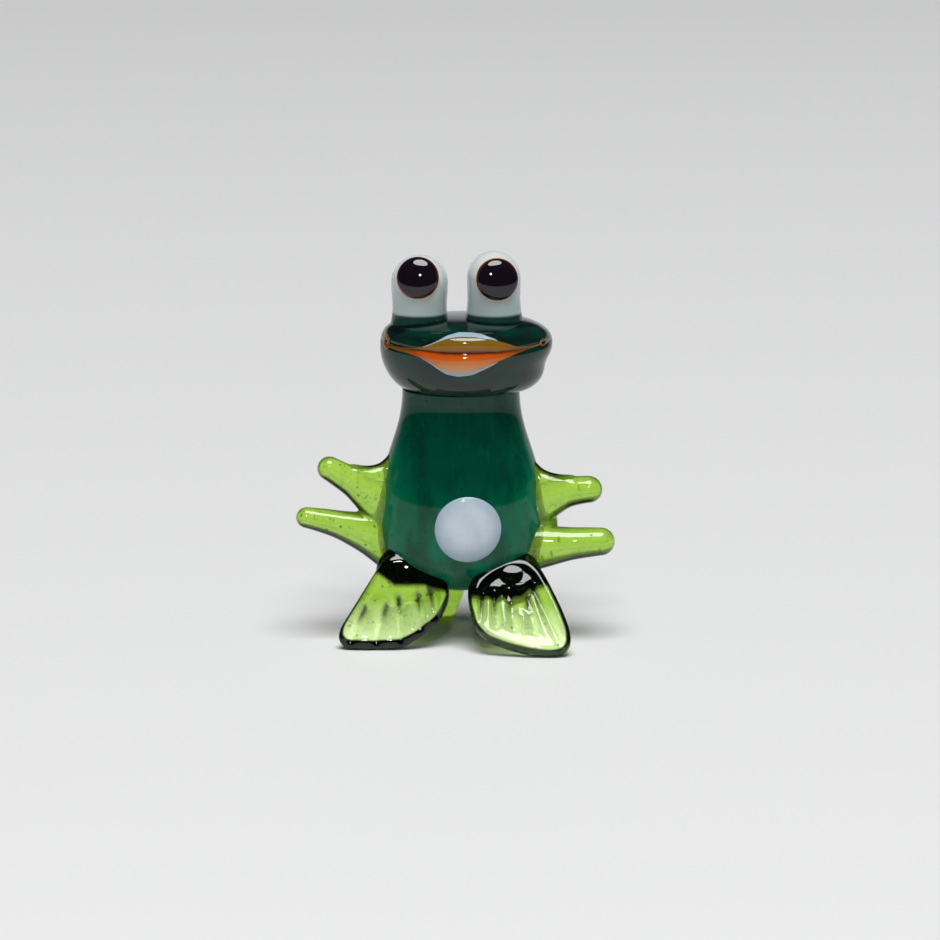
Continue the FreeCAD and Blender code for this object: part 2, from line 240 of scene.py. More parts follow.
class Paint:
    """The nodes of one material, with its glossy glass shader already in place."""

    def __init__(self, name):
        self.material = bpy.data.materials.new(name)
        self.material.use_nodes = True
        self.tree = self.material.node_tree
        self.glass = self.tree.nodes["Principled BSDF"]
        self.place = Made(self, self.tree.nodes.new("ShaderNodeTexCoord")).out("Object")

    def node(self, kind, settings=None, inputs=None):
        """Adds a node: first its settings, with a ramp's stops under the name stops, then its sockets."""
        node = self.tree.nodes.new(kind)
        for key, value in (settings or {}).items():
            if key == "stops":
                self._stops(node.color_ramp, value)
            else:
                setattr(node, key, value)
        for key, value in (inputs or {}).items():
            self.feed(node.inputs[key], value)
        return Made(self, node)

    def _stops(self, ramp, stops):
        for extra, (place, colour) in enumerate(stops):
            stop = ramp.elements[extra] if extra < len(ramp.elements) else ramp.elements.new(place)
            stop.position = place
            stop.color = (*colour, 1)

    def feed(self, socket, value):
        """Links a value to a socket, or sets a plain number or colour on it."""
        if isinstance(value, Value):
            self.tree.links.new(value.socket, socket)
        else:
            socket.default_value = value

    def set(self, **sockets):
        """Sets sockets of the glass shader, with _ for a space in their names."""
        for key, value in sockets.items():
            self.feed(self.glass.inputs[key.replace("_", " ")], value)

    def axis(self, which):
        """One coordinate of the place on the piece, in drawing millimetres."""
        apart = self.node("ShaderNodeSeparateXYZ", {}, {0: self.place})
        return apart.out(which) * (1 / MM) - float(SHIFT["XYZ".index(which)])

    def step(self, value, low, high):
        """0 below low, 1 above high, and a smooth step between."""
        made = self.node("ShaderNodeMapRange", {"interpolation_type": "SMOOTHSTEP"},
                         {"Value": value, "From Min": low, "From Max": high})
        return made.out()

    def noise(self, size, detail=2.0, stretch=(1, 1, 1), rough=0.5):
        """Soft noise from 0 to 1 whose lumps are about size millimetres, drawn out by stretch."""
        place = self.node("ShaderNodeVectorMath", {"operation": "MULTIPLY"},
                          {0: self.place, 1: [1 / one for one in stretch]})
        made = self.node("ShaderNodeTexNoise", {}, {"Vector": place.out(), "Scale": 1 / (size * MM),
                                                   "Detail": detail, "Roughness": rough})
        return made.out(0)

    def seeds(self, apart, size, share):
        """1 on small round seeds, about apart millimetres from each other, on a share of the places."""
        cells = self.node("ShaderNodeTexVoronoi", {}, {"Vector": self.place, "Scale": 1 / (apart * MM)})
        pick = self.node("ShaderNodeSeparateColor", {}, {0: cells.out("Color")}).out(0)
        chosen = pick > 1 - share
        return self.step(cells.out("Distance"), size / apart, size / apart * 0.5) * chosen

    def mix(self, share, first, second):
        """The first colour where share is 0 and the second where it is 1."""
        made = self.node("ShaderNodeMix", {"data_type": "RGBA"}, {"Factor": share, "A": first, "B": second})
        return made.out(2)

    def colours(self, value, stops):
        """A colour read from a ramp."""
        return self.node("ShaderNodeValToRGB", {"stops": stops}, {0: value}).out(0)


def colour(red, green, blue):
    """A colour as four numbers, as sockets take it."""
    return (red, green, blue, 1)


# %% [markdown]
# The torso is a pear: a bowl that is a quarter of an ellipse, and a side pulled in towards the neck. Its
# profile is the exact solid's, turned about the Z axis and pressed flat to four fifths of its depth.

# %% The profile of torso and head
ROUND_CORNER = math.sqrt(0.5)


def corner_points(start, corner, end, fullness, count):
    """Points of a quarter curve. At t a point is the mean of start, corner and end with the weights
    (1 - t)^2, 2 fullness t (1 - t) and t^2 over their sum, as an exact ellipse quarter is written."""
    t = np.linspace(0, 1, count)[:, None]
    weights = [(1 - t) ** 2, 2 * fullness * t * (1 - t), t ** 2]
    total = sum(weights)
    return sum(weight * np.array(point) for weight, point in zip(weights, (start, corner, end))) / total


def pulled_points(poles, count):
    """Points of a cubic curve from the first pole to the last, pulled towards the two between."""
    t = np.linspace(0, 1, count)[:, None]
    a, b, c, d = (np.array(pole) for pole in poles)
    return (1 - t) ** 3 * a + 3 * t * (1 - t) ** 2 * b + 3 * t ** 2 * (1 - t) * c + t ** 3 * d


def even_profile(points, count):
    """The same line with its points evenly apart, by length along it."""
    steps = np.hypot(*np.diff(points, axis=0).T)
    along = np.concatenate([[0], np.cumsum(steps)])
    wanted = np.linspace(0, along[-1], count)
    return np.stack([np.interp(wanted, along, column) for column in points.T], axis=-1)


def averaged(values, spread, ends="edge"):
    """Each value as the mean of its neighbours, over spread of them, weighted most in the middle."""
    weights = np.hanning(spread)
    return np.convolve(np.pad(values, spread // 2, ends), weights / weights.sum(), "valid")


def turned_rings(profile, x, y, depth_share, around):
    """Rings about the Z axis: at each point of a profile of radius and height, an ellipse."""
    angle = np.linspace(0, 2 * np.pi, around, endpoint=False)
    radius, height = profile[:, :1], profile[:, 1:]
    return np.stack([x + radius * np.cos(angle), y + radius * np.sin(angle) * depth_share,
                     height + 0 * angle], axis=-1)


def profile_front(line, across, depth_share, z):
    """The Y of the front of a turned profile, at a place across from its axis and up."""
    order = np.argsort(line[:, 1], kind="stable")
    radius = np.interp(z, line[order, 1], line[order, 0])
    return -depth_share * np.sqrt(np.maximum(radius ** 2 - across ** 2, 0.0))


END_RADIUS = 0.02
NECK_RADIUS, NECK_HEIGHT = 5.85, 25.3
BELLY_BOTTOM = 4.7
BELLY_RADIUS, BELLY_HEIGHT = 8.45, 10.8
BELLY_SHARE = BELLY_HALF_DEPTH / BELLY_RADIUS
bowl = corner_points((0, BELLY_BOTTOM), (BELLY_RADIUS, BELLY_BOTTOM), (BELLY_RADIUS, BELLY_HEIGHT),
                     ROUND_CORNER, 60)
side = pulled_points([(BELLY_RADIUS, BELLY_HEIGHT), (BELLY_RADIUS, 18.5), (NECK_RADIUS, 20.0),
                      (NECK_RADIUS, NECK_HEIGHT)], 60)
torso_line = even_profile(np.vstack([bowl[1:], side[1:], [(END_RADIUS, NECK_HEIGHT)]]), 220)
torso = skin("torso_glass", turned_rings(torso_line, TORSO_X, 0, BELLY_SHARE, 240))

# %% [markdown]
# The head is a flattened gather with a bowl of a jaw. A blade pressed the line of the lips into its
# front, so the upper lip hangs over the lower one, and the pressed corners are deepest at the sides.

# %% The head and its lips
HEAD_X, HEAD_RADIUS, HEAD_HALF_DEPTH = 0.35, 8.6, 6.9
HEAD_SHARE = HEAD_HALF_DEPTH / HEAD_RADIUS
CHEEK_HEIGHT, CROWN_HEIGHT = 29.45, 32.45
JAW_FULLNESS, CROWN_FULLNESS = 0.55, 1.9
SEAT_RISE = 0.03
jaw = corner_points((NECK_RADIUS, NECK_HEIGHT), (HEAD_RADIUS, NECK_HEIGHT), (HEAD_RADIUS, CHEEK_HEIGHT),
                    JAW_FULLNESS, 90)
brow = corner_points((HEAD_RADIUS, CHEEK_HEIGHT), (HEAD_RADIUS, CROWN_HEIGHT), (0, CROWN_HEIGHT),
                     CROWN_FULLNESS, 90)
seat = np.array([(END_RADIUS, NECK_HEIGHT + SEAT_RISE), (NECK_RADIUS - 0.1, NECK_HEIGHT + SEAT_RISE)])
head_line = even_profile(np.vstack([seat, jaw, brow[1:-1], [(END_RADIUS, CROWN_HEIGHT)]]), 260)
LIP_HEIGHT, LIP_TILT = 30.3, math.radians(2)


def lip_height(y):
    """The height of the crease at a depth, as it dips towards the front."""
    return LIP_HEIGHT + y * math.tan(LIP_TILT)


def bell(value, width):
    """1 at 0, falling away to both sides over about width."""
    return np.exp(-(value / width) ** 2)


def lip_press(x, y, z):
    """How far the front of the head is pressed in, in millimetres, less where the lips swell out."""
    across = np.abs(x - HEAD_X)
    front = np.clip(-y / 3.0, 0, 1)
    above = z - lip_height(y)
    crease = 0.26 * bell(above, 0.26)
    hollow = 0.34 * bell(above - 0.8, 0.6) * bell(across - 4.6, 1.9)
    upper = -0.2 * bell(above - 1.2, 0.7) * bell(across, 7.0)
    lower = -0.14 * bell(above + 1.2, 0.9) * bell(across, 5.0)
    return (crease + hollow + upper + lower) * front


def side_press(x, z):
    """How much flatter the head is on the viewer's right, at the shoulder and at the jaw."""
    right = np.clip((x - HEAD_X) / HEAD_RADIUS, 0, 1) ** 2
    return (0.75 * bell(z - 32.3, 1.0) + 0.45 * bell(z - 27.9, 1.2)) * right


def pressed_head(rings):
    """Moves the points of the head straight in by the press of the lips and of the sides."""
    x, y, z = np.moveaxis(rings, -1, 0)
    out = np.stack([x - HEAD_X, y / HEAD_SHARE ** 2, 0 * z], axis=-1)
    out /= np.maximum(np.linalg.norm(out, axis=-1, keepdims=True), 1e-6)
    return rings - out * (lip_press(x, y, z) + side_press(x, z))[..., None]


head_rings = turned_rings(head_line, HEAD_X, 0, HEAD_SHARE, 300)
head = skin("head_glass", pressed_head(head_rings))


def head_front(x, z):
    """The Y of the front of the head at a place across and up."""
    y = profile_front(head_line, x - HEAD_X, HEAD_SHARE, z)
    return y + lip_press(x, y, z) + side_press(x, z)


# %% [markdown]
# The mouth is white glass under a thin layer of amber, pressed into the front of the head and drawn out
# along the crease to a small loop at each corner. Its outline is given from one corner to the other as
# an upper and a lower height, and it follows the head's front, with its rim just sunk into the glass.
# The white is the same leaf without its drawn-out ends, a little taller, so that it shows as a rim.

# %% The mouth
LEAF_SINK = 0.02


def leaf_rings(across, low, high, proud, thickness, around=40, columns=200):
    """Rings of a thin leaf on the head's front. At each place across, an ellipse runs from the low
    height to the high one, its front proud of the head by proud and its back thickness behind."""
    x = np.linspace(across[0], across[-1], columns)
    bottom, top = (averaged(np.interp(x, across, heights), 15) for heights in (low, high))
    angle = np.linspace(0, 2 * np.pi, around, endpoint=False)
    middle, half = (bottom + top) / 2, (top - bottom) / 2
    z = middle[:, None] + half[:, None] * np.cos(angle)
    wide = x[:, None] + 0 * z
    bulge = np.sign(np.sin(angle)) * np.abs(np.sin(angle)) ** 0.4
    depth = np.where(bulge > 0, proud * bulge, thickness * bulge) - LEAF_SINK
    return np.stack([wide, head_front(wide, z) - depth, z], axis=-1)


def loop_data(centre, wide, tall, thick, around=48, sides=16):
    """A ring of drawn glass that lies on the head's front: a tube of radius thick round an ellipse."""
    turn = np.linspace(0, 2 * np.pi, around, endpoint=False)[:, None]
    side = np.linspace(0, 2 * np.pi, sides, endpoint=False)
    out = 1 + thick * np.cos(side) / wide
    x = centre[0] + wide * np.cos(turn) * out
    z = centre[1] + tall * np.sin(turn) * out
    points = np.stack([x, head_front(x, z) - thick * np.sin(side), z], axis=-1).reshape(-1, 3)
    index = np.arange(around * sides).reshape(around, sides)
    after = np.roll(index, -1, axis=0)
    quads = np.stack([index, after, np.roll(after, -1, axis=1), np.roll(index, -1, axis=1)], axis=-1)
    return points, quads.reshape(-1, 4).tolist()


amber_across = np.array([-7.4, -6.6, -5.4, -4.1, -3.2, -2.4, -1.6, -0.4, 0.9, 1.9, 3.1, 4.2, 5.3, 6.6, 7.7])
amber_high = np.array([30.32, 30.15, 30.2, 30.4, 30.72, 31.1, 31.42, 31.62, 31.6, 31.5, 31.25, 30.85, 30.42,
                       30.32, 30.42])
amber_low = np.array([29.95, 29.82, 29.7, 29.42, 28.98, 28.5, 28.12, 27.95, 28.1, 28.5, 28.98, 29.38, 29.77,
                      30.05, 30.2])
AMBER_PROUD, AMBER_THICKNESS = 0.13, 0.5
WHITE_PART = slice(2, 12)
WHITE_PROUD, WHITE_THICKNESS = 0.07, 0.7
white_across = amber_across[WHITE_PART]
white_high = amber_high[WHITE_PART] + np.array([-0.3, 0.0, 0.06, 0.14, 0.25, 0.34, 0.34, 0.3, 0.12, -0.2])
white_low = amber_low[WHITE_PART] - np.array([-0.3, 0.05, 0.1, 0.2, 0.3, 0.34, 0.3, 0.25, 0.14, -0.2])
leaf = skin_data(leaf_rings(amber_across, amber_low, amber_high, AMBER_PROUD, AMBER_THICKNESS))
mouth_amber = new_piece("mouth_amber_glass", *joined_data([
    leaf, loop_data((-7.6, 30.4), 0.22, 0.5, 0.14), loop_data((7.95, 30.42), 0.3, 0.26, 0.13)]))
mouth_white = skin("mouth_white_glass",
                   leaf_rings(white_across, white_low, white_high, WHITE_PROUD, WHITE_THICKNESS))

# %% [markdown]
# The eyes are stalks of milky glass with round tops and a flared foot where they melted onto the crown.
# A dark drop was pressed into the front of each, and stands a little proud, so it shines like a bead.

# %% The eyes
EYE_Y = 0.0
EYES = {
    "left": {"x": -4.3, "top": 38.7, "radius": 2.82, "turn": -4.0, "upwards": 21.0, "tip": -4.0, "waist": 2.6,
             "foot": 32.0},
    "right": {"x": 3.07, "top": 39.05, "radius": 2.66, "turn": 8.0, "upwards": 5.0, "tip": 8.0, "waist": 2.6,
              "foot": 32.3},
}
PUPIL_RADIUS, PUPIL_SEAT, PUPIL_PROUD = 2.1, 0.85, 0.45


def eye_rings(eye):
    """A round top, a straight stem and a foot that flares out, turned about the stalk's own axis."""
    radius, top, waist, foot = eye["radius"], eye["top"], eye["waist"], eye["foot"]
    dome = corner_points((0.01, top), (radius, top), (radius, top - radius), ROUND_CORNER, 60)
    flare = pulled_points([(radius, top - radius), (radius, foot + 2.2), (waist - 0.1, foot + 1.6),
                           (waist + 0.35, foot - 0.4)], 60)[1:]
    under = np.array([(waist + 0.3, foot - 0.6), (0.01, foot - 0.8)])
    line = even_profile(np.vstack([dome, flare, under]), 150)
    return turned_rings(line, eye["x"], EYE_Y, 1.0, 120)


def drop_rings(centre, radius, half_depth, rows=60, around=96):
    """A round drop pressed flat along Y: half an ellipse turned about its short axis."""
    angle = np.linspace(0.02, np.pi - 0.02, rows)[:, None]
    turn = np.linspace(0, 2 * np.pi, around, endpoint=False)
    across = radius * np.sin(angle)
    return np.stack([centre[0] + across * np.cos(turn), centre[1] - half_depth * np.cos(angle) + 0 * turn,
                     centre[2] + across * np.sin(turn)], axis=-1)


def turned_about(points, centre, degrees, first, second):
    """Points turned about a centre, in the plane of two axes, from the first towards the second."""
    turn = math.radians(degrees)
    away = points - np.asarray(centre, float)
    turned = away.copy()
    turned[..., first] = away[..., first] * math.cos(turn) - away[..., second] * math.sin(turn)
    turned[..., second] = away[..., first] * math.sin(turn) + away[..., second] * math.cos(turn)
    return turned + centre


def pupil_rings(eye):
    """The dark drop on the dome of an eye, tipped up and turned about the middle of the dome."""
    middle = np.array([eye["x"], EYE_Y, eye["top"] - eye["radius"]])
    seat = PUPIL_SEAT * eye["radius"]
    rings = drop_rings(middle - (0, seat, 0), PUPIL_RADIUS, eye["radius"] - seat + PUPIL_PROUD)
    rings = turned_about(rings, middle - (0, seat, 0), -eye["tip"], 1, 2)
    return turned_about(turned_about(rings, middle, -eye["upwards"], 1, 2), middle, eye["turn"], 0, 1)


eyes = {side: skin("eye_" + side + "_milk", eye_rings(eye)) for side, eye in EYES.items()}
pupils = {side: skin("pupil_" + side + "_dark", pupil_rings(eye)) for side, eye in EYES.items()}

# %% [markdown]
# The white dot on the belly is a drop that was touched on hot and sank in, so it is nearly flush.

# %% The dot on the belly
SPOT_X, SPOT_HEIGHT, SPOT_RADIUS = 0.5, 12.2, 3.3
SPOT_PROUD, SPOT_LIFT = 0.3, 0.04


def torso_front(x, z):
    """The Y of the front of the torso at a place across and up."""
    return profile_front(torso_line, x - TORSO_X, BELLY_SHARE, z)


def spot_rings(rows=90, around=128):
    """A lens on the torso's front: circles about its middle, whose front stands proud by a flat
    dome, sqrt(1 - r^4) of SPOT_PROUD at r of the radius, and whose back is sunk by as much again."""
    angle = np.linspace(0.02, np.pi - 0.02, rows)[:, None]
    turn = np.linspace(0, 2 * np.pi, around, endpoint=False)
    share = np.sin(angle)
    x = SPOT_X + SPOT_RADIUS * share * np.cos(turn)
    z = SPOT_HEIGHT + SPOT_RADIUS * share * np.sin(turn)
    dome = SPOT_PROUD * np.sqrt(1 - np.minimum(share, 1) ** 4) * np.sign(np.cos(angle))
    return np.stack([x, torso_front(x, z) - dome - SPOT_LIFT, z], axis=-1)


spot = skin("belly_spot_white", spot_rings())

# %% [markdown]
# Fingers, toes and the prop are rods, drawn out while hot. A rod follows a curved line, and its rings
# stand square to that line, with a radius that changes along it and a round end.

# %% Drawn rods
END_RINGS = 12


def rod_line(poles, count=60):
    """A smooth line near its poles: the cubic curve of four, to which two or three are raised."""
    poles = [np.array(pole, float) for pole in poles]
    if len(poles) == 2:
        poles = [poles[0], poles[0] * 2 / 3 + poles[1] / 3, poles[0] / 3 + poles[1] * 2 / 3, poles[1]]
    if len(poles) == 3:
        poles = [poles[0], (poles[0] + 2 * poles[1]) / 3, (poles[2] + 2 * poles[1]) / 3, poles[2]]
    return pulled_points(poles, count)


def rod(poles, radii, depths=(1.0, 1.0), around=40, rows=60):
    """The skin of a rod. Each ring is an ellipse, as wide as the radius there, and as deep as a share of
    it that runs from the first depth to the last. Both ends are half balls: at an angle b from the tip, a
    ring is radius sin b wide and radius cos b beyond the end of the line."""
    line = rod_line(poles, rows)
    tangent = np.gradient(line, axis=0)
    tangent /= np.linalg.norm(tangent, axis=1, keepdims=True)
    radius = averaged(np.interp(np.linspace(0, 1, rows), np.linspace(0, 1, len(radii)), radii), 13)
    bend = np.linspace(0.05, 1, END_RINGS, endpoint=False) * np.pi / 2
    start = [line[:1] - tangent[:1] * radius[0] * np.cos(bend)[:, None], radius[0] * np.sin(bend)]
    end = [line[-1:] + tangent[-1:] * radius[-1] * np.cos(bend)[::-1, None], radius[-1] * np.sin(bend)[::-1]]
    centres = np.vstack([start[0], line, end[0]])
    sizes = np.concatenate([start[1], radius, end[1]])
    depth = np.interp(np.linspace(0, 1, len(sizes)), np.linspace(0, 1, len(depths)), depths)[:, None, None]
    along = np.vstack([np.repeat(tangent[:1], END_RINGS, 0), tangent, np.repeat(tangent[-1:], END_RINGS, 0)])
    wide = np.cross(along, [0.0, 1.0, 0.0])
    wide /= np.linalg.norm(wide, axis=1, keepdims=True)
    deep = np.cross(wide, along)
    angle = np.linspace(0, 2 * np.pi, around, endpoint=False)[:, None]
    rings = centres[:, None] + sizes[:, None, None] * (wide[:, None] * np.cos(angle)
                                                       + deep[:, None] * np.sin(angle) * depth)
    return skin_data(rings)


def drop(centre, radius, half_depth):
    """The skin of a pressed drop."""
    return skin_data(drop_rings(centre, radius, half_depth))


# %% [markdown]
# Each arm is a flat palm on the side of the torso with two fingers drawn out of it. Its glass runs up the
# torso's side above the upper finger, where the limb was pulled while it was soft. The sides turn away
# from the light and look nearly black, so each point keeps how much painted shade it gets.

# %% The arms
SIDE_FACING, SIDE_FADE = 0.42, 0.26
SHOULDER_ACROSS, SHOULDER_HEIGHT = 10.8, 15.2


def painted_rim_shade(piece):
    """How much painted shade an arm gets at each point, from 0 to 1: its sides, which face away from the
    camera and are darkest where they look down, its underside, and the top edge of its shoulder."""
    normals = np.empty(len(piece.data.vertices) * 3)
    piece.data.vertices.foreach_get("normal", normals)
    x, y, z = normals.reshape(-1, 3).T
    facing = np.abs(z * math.sin(CAMERA_TILT) - y * math.cos(CAMERA_TILT))
    sides = np.clip((SIDE_FACING - facing) / SIDE_FADE, 0, 1) * np.clip(0.75 - 0.5 * z - 0.15 * x, 0.35, 1)
    below = np.clip((-z - 0.2 * x - 0.42) / 0.25, 0, 1)
    across, _, height = (mesh_points(piece) / MM - SHIFT).T
    near = np.clip((SHOULDER_ACROSS - np.abs(across)) / 1.5, 0, 1)
    shoulder = near * np.clip((height - SHOULDER_HEIGHT) / 1.2, 0, 1) * np.clip((0.85 - facing) / 0.3, 0, 1)
    return np.maximum.reduce([sides, below, shoulder])


FLAT_ROOT = (0.42, 0.7, 0.95, 1.0)
arm_left = melted("arm_left_lime", [
    drop((-7.5, -0.8, 11.7), 2.8, 1.3),
    rod([(-6.4, -0.8, 12.65), (-9.7, -1.2, 15.2), (-13.3, -2.0, 17.46)], (3.3, 2.3, 1.5, 1.22), FLAT_ROOT),
    rod([(-6.6, -0.9, 9.4), (-10.9, -1.4, 11.5), (-15.6, -2.0, 12.45)], (3.0, 2.1, 1.4, 1.06), FLAT_ROOT),
    rod([(-10.9, -1.5, 16.6), (-8.2, -1.0, 15.9), (-6.7, -0.7, 16.9), (-6.4, -0.5, 19.4)],
        (1.2, 1.2, 1.1, 0.7)),
])
arm_right = melted("arm_right_lime", [
    drop((6.9, -0.95, 11.6), 2.6, 1.3),
    rod([(6.2, -0.8, 13.2), (9.2, -1.3, 15.0), (12.55, -2.0, 15.33)], (3.3, 2.25, 1.55, 1.36), FLAT_ROOT),
    rod([(5.4, -1.9, 9.1), (9.4, -2.2, 9.8), (13.75, -2.3, 10.07)], (2.5, 2.15, 1.65, 1.42),
        (0.6, 0.8, 1.0, 1.0)),
    rod([(10.6, -1.6, 15.5), (8.0, -1.0, 15.4), (6.1, -0.7, 16.3), (5.7, -0.5, 19.6)], (1.25, 1.2, 1.1, 0.7)),
])
for limb in (arm_left, arm_right):
    # painted shade at each point of an arm, kept for the lime glass to read
    keep(limb, "deep", painted_rim_shade(limb))

# %% [markdown]
# A foot is a gather squeezed flat with ribbed pliers into a fan with a thick round rim. It leans forwards
# until it reaches the floor. Its outline and its ribs are drawn in the plane of the fan, across and down
# from the ankle. The plate is one skin over that outline, so that the ribs are a soft relief on it.
# Below the torso, and at the rim where the fan turns away, points are kept nearly black as painted shade.

# %% The feet
FEET = {
    "left": {
        "ankle": (-6.2, -3.7, 8.8), "pitch": 72.0, "instep": (0.6, 1.3),
        "dark": [(-4.0, 0.6), (-1.7, 2.1), (-0.6, 2.9), (2.4, 2.9), (3.9, 3.4), (5.0, 3.7)],
        "outline": [(-1.5, -0.4), (-2.5, 1.1), (-4.5, 4.35), (-6.1, 6.9), (-6.25, 8.1), (-5.4, 8.8),
                    (-2.8, 8.9), (0.2, 8.75), (1.9, 7.8), (3.9, 6.1), (4.9, 3.9), (4.8, 2.5), (3.9, 1.3),
                    (2.0, 0.2), (0.2, -0.8)],
        "grooves": [((-3.5, 5.0), (-4.9, 8.0)), ((-1.4, 4.8), (-2.4, 8.2)), ((-0.2, 4.1), (0.1, 8.1)),
                    ((1.7, 3.8), (2.0, 6.7)), ((2.9, 3.4), (3.4, 5.6))]},
    "right": {
        "ankle": (5.2, -4.2, 8.2), "pitch": 56.0, "instep": (-0.4, 1.4),
        "dark": [(-4.8, 3.8), (-2.0, 3.9), (0.5, 3.9), (1.5, 2.9), (2.9, 2.6), (4.2, 1.5)],
        "outline": [(-4.8, 3.0), (-4.6, 4.8), (-4.1, 6.9), (-3.0, 8.2), (-0.85, 9.1), (1.3, 9.7), (3.4, 9.95),
                    (4.85, 9.7), (5.55, 8.7), (5.4, 7.1), (4.55, 4.8), (3.3, 2.1), (2.5, 0.6), (1.2, -0.6),
                    (-0.8, -0.6), (-2.8, 0.4), (-4.2, 1.6)],
        "grooves": [((-3.3, 4.1), (-3.45, 6.3)), ((-2.1, 3.8), (-1.9, 6.9)), ((-0.7, 3.6), (-0.1, 7.3)),
                    ((1.2, 3.8), (1.9, 7.6)), ((1.8, 3.0), (4.3, 8.6))]},
}
PLATE_HALF, GROOVE_WIDTH, GROOVE_DEPTH = 0.78, 0.42, 0.3
INSTEP_RADIUS, INSTEP_HALF, INSTEP_BACK = 3.1, 1.15, 0.3
FOOT_ROUNDS, FOOT_VOXEL = 5, 0.085 * MM
SPIKE_WIDTH, RIM_WIDTH, RIM_GROWTH = 0.32, 0.3, 0.035
PALE_FROM, PALE_OVER = 4.2, 3.5


def from_segment(across, down, start, end):
    """How far places in the plane of a fan are from a straight line between two of its places."""
    run = np.array(end) - np.array(start)
    share = ((across - start[0]) * run[0] + (down - start[1]) * run[1]) / (run @ run)
    share = np.clip(share, 0, 1)
    return np.hypot(across - start[0] - share * run[0], down - start[1] - share * run[1])


def smooth_outline(places, count=260, spread=21):
    """A closed line near the places, evenly spaced and then averaged over its neighbours."""
    closed = np.array(list(places) + [places[0]], float)
    even = even_profile(closed, count + 1)[:-1]
    return np.stack([averaged(column, spread, "wrap") for column in even.T], axis=-1)


def plate_skin(foot, rows=90):
    """The skin of the pressed fan. From the middle of the front over the rim to the middle of the back,
    a ring is the outline grown to a share of its size, and share^5 + depth^5 = 1, so the plate is flat
    and its rim round. The ribs are pressed into both sides, and the rim is a little thicker."""
    outline = smooth_outline(foot["outline"])
    middle = outline.mean(0)
    angle = np.linspace(0.01, np.pi - 0.01, rows)[:, None]
    share = np.abs(np.sin(angle)) ** 0.4
    depth = np.abs(np.cos(angle)) ** 0.4 * np.sign(np.cos(angle))
    across = middle[0] + share * (outline[:, 0] - middle[0])
    down = middle[1] + share * (outline[:, 1] - middle[1])
    ribs = sum(bell(from_segment(across, down, *groove), GROOVE_WIDTH) for groove in foot["grooves"])
    half = PLATE_HALF * (1 + 0.18 * bell(share - 0.86, 0.1)) - GROOVE_DEPTH * np.clip(ribs, 0, 1)
    return skin_data(np.stack([across, -half * depth, -down], axis=-1))


def leant(data, foot):
    """A skin from the plane of a fan, leant forwards about X and set at the ankle."""
    points, faces = data
    return turned_about(points, (0, 0, 0), foot["pitch"] - 90, 1, 2) + np.array(foot["ankle"]), faces


def darkness(foot, across, down):
    """How much painted shade a fan gets at places across and down from its ankle: nearly black above a line
    across the fan, in spikes along the grooves below that, and in a rim that is wider further down."""
    line = np.interp(across, *np.array(foot["dark"]).T)
    above = np.clip((line - down) / 0.5 + 0.5, 0, 1)
    spikes = sum(bell(from_segment(across, down, start, end), SPIKE_WIDTH)
                 * np.clip(1.5 - (down - start[1]) / 1.3, 0, 1) for start, end in foot["grooves"])
    edge = smooth_outline(foot["outline"])
    to_edge = np.min(np.hypot(across[:, None] - edge[:, 0], down[:, None] - edge[:, 1]), axis=1)
    return above + 0.85 * spikes + np.clip((RIM_WIDTH + RIM_GROWTH * down - to_edge) / 0.15, 0, 1)


def foot_piece(side, foot):
    """Plate and instep melted together and set down on the floor. Each point keeps how much painted shade it
    gets there, and how pale the glass is, which it is where the fan is thin, towards its lower rim."""
    across, down = foot["instep"]
    skins = [plate_skin(foot), drop((across, INSTEP_BACK, -down), INSTEP_RADIUS, INSTEP_HALF)]
    piece = melted("foot_" + side + "_lime", [leant(one, foot) for one in skins], FOOT_ROUNDS, FOOT_VOXEL)
    away = stood(piece) - np.array(foot["ankle"])
    flat = turned_about(away, (0, 0, 0), 90 - foot["pitch"], 1, 2)
    # painted shade at each point of a fan, kept for the lime glass to read
    keep(piece, "deep", darkness(foot, flat[:, 0], -flat[:, 2]))
    keep(piece, "pale", (-flat[:, 2] - PALE_FROM) / PALE_OVER)
    return piece


feet = {side: foot_piece(side, foot) for side, foot in FEET.items()}

# %% [markdown]
# A short rod was touched on under the back of the torso and drawn down, so that the frog leans on it.

# %% The prop behind
prop = melted("tail_prop_lime", [rod([(-0.7, 2.6, 6.6), (-1.8, 6.0, 1.0)], (1.8, 1.15))])
stood(prop)
print(prop.name, "stands on the floor")

# %% [markdown]
# The emerald of the torso is a dense glass: most light is sent back from inside it, and some passes. It
# is mottled, deeper in the middle where it is thick, with streaks and dark specks from the torch. Low down
# it is lighter, as painted light that stands for light bent through the glass, and at the top of the neck
# a grey band is a painted reflection.

# %% Emerald glass
def emerald_glass():
    paint = Paint("emerald glass")
    across, up = paint.axis("X") - TORSO_X, paint.axis("Z")
    middle = 1 - paint.step(across * across, 14.0, 56.0)
    # painted light: below this mask the torso is kept lighter, standing for light bent through the glass
    upper = paint.step(up, 9.0, 18.0)
    cloud = paint.noise(2.4, 4.0, (1, 1, 2.2))
    deep = paint.mix(middle * upper, colour(0.0, 0.185, 0.095), colour(0.0, 0.060, 0.031))
    deep = paint.mix(paint.step(cloud, 0.4, 0.65) * 0.6, deep, colour(0.0, 0.034, 0.019))
    streak = paint.noise(0.5, 2.0, (1, 1, 9))
    deep = paint.mix(paint.step(streak, 0.58, 0.75) * 0.22 * upper, deep, colour(0.004, 0.15, 0.08))
    # painted reflection: a grey band, in patches, at the top of the neck
    neck_reflection = paint.step(up, 23.4, 24.4) * paint.step(paint.noise(3.0), 0.3, 0.6)
    deep = paint.mix(neck_reflection * 0.5, deep, colour(0.02, 0.09, 0.07))
    specks = paint.seeds(0.9, 0.16, 0.35)
    deep = paint.mix(specks * 0.6, deep, colour(0.0, 0.02, 0.012))
    paint.set(Base_Color=deep, Roughness=0.035, IOR=1.4, Transmission_Weight=0.25,
              Specular_IOR_Level=0.35)
    return paint.material
